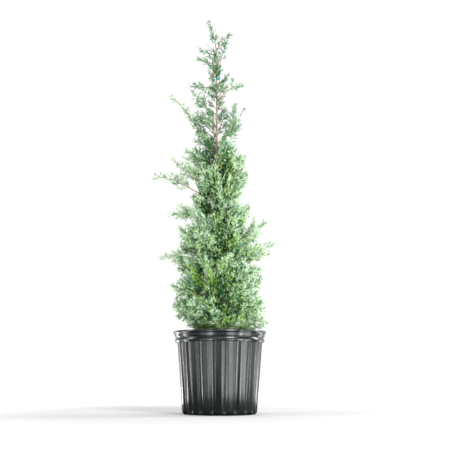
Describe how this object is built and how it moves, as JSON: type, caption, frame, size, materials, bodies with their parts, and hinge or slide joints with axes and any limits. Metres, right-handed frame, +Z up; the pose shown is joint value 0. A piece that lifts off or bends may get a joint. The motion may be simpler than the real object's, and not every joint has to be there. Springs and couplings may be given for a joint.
{
  "type": "potted conifer tree",
  "caption": "Narrow young blue-green cypress in a round fluted nursery pot, with loose feathery limbs and a second leading shoot tied to the trunk.",
  "frame": {"origin": "centre of the pot's flat underside", "axes": "+Z up along the trunk, -Y towards the viewer of the picture"},
  "size_m": [0.3885, 0.2794, 1.2583],
  "materials": {
    "pot_plastic": "satin black moulded plastic",
    "potting_mix": "matt, damp composted bark",
    "bark": "matt, finely fissured bark",
    "foliage": "matt, waxy scale leaves",
    "tie_tape": "satin stretch tape"
  },
  "bodies": {
    "root": {"pot": "pot_plastic", "potting_mix": "potting_mix", "trunk": "bark", "tie_tape": "tie_tape", "bough_arm": "bark", "bough_left_10": "bark", "bough_left_3": "bark", "bough_left_4": "bark", "bough_left_6": "bark", "bough_left_7": "bark", "bough_left_8": "bark", "bough_right_4": "bark", "bough_right_5": "bark", "bough_right_9": "bark", "bough_second_leader": "bark", "foliage_arm_shoot": "foliage", "foliage_back_1": "foliage", "foliage_back_2": "foliage", "foliage_back_3": "foliage", "foliage_back_4": "foliage", "foliage_back_5": "foliage", "foliage_back_6": "foliage", "foliage_back_7": "foliage", "foliage_back_8": "foliage", "foliage_front_1": "foliage", "foliage_front_2": "foliage", "foliage_front_3": "foliage", "foliage_front_4": "foliage", "foliage_front_5": "foliage", "foliage_front_6": "foliage", "foliage_front_7": "foliage", "foliage_front_8": "foliage", "foliage_leader": "foliage", "foliage_left_1": "foliage", "foliage_left_10": "foliage", "foliage_left_11": "foliage", "foliage_left_12": "foliage", "foliage_left_13": "foliage", "foliage_left_14": "foliage", "foliage_left_15": "foliage", "foliage_left_2": "foliage", "foliage_left_3": "foliage", "foliage_left_4": "foliage", "foliage_left_5": "foliage", "foliage_left_6": "foliage", "foliage_left_7": "foliage", "foliage_left_8": "foliage", "foliage_left_9": "foliage", "foliage_right_1": "foliage", "foliage_right_10": "foliage", "foliage_right_2": "foliage", "foliage_right_3": "foliage", "foliage_right_4": "foliage", "foliage_right_5": "foliage", "foliage_right_6": "foliage", "foliage_right_7": "foliage", "foliage_right_8": "foliage", "foliage_right_9": "foliage", "foliage_second_leader": "foliage", "foliage_top_right": "foliage"}
  },
  "joints": []
}
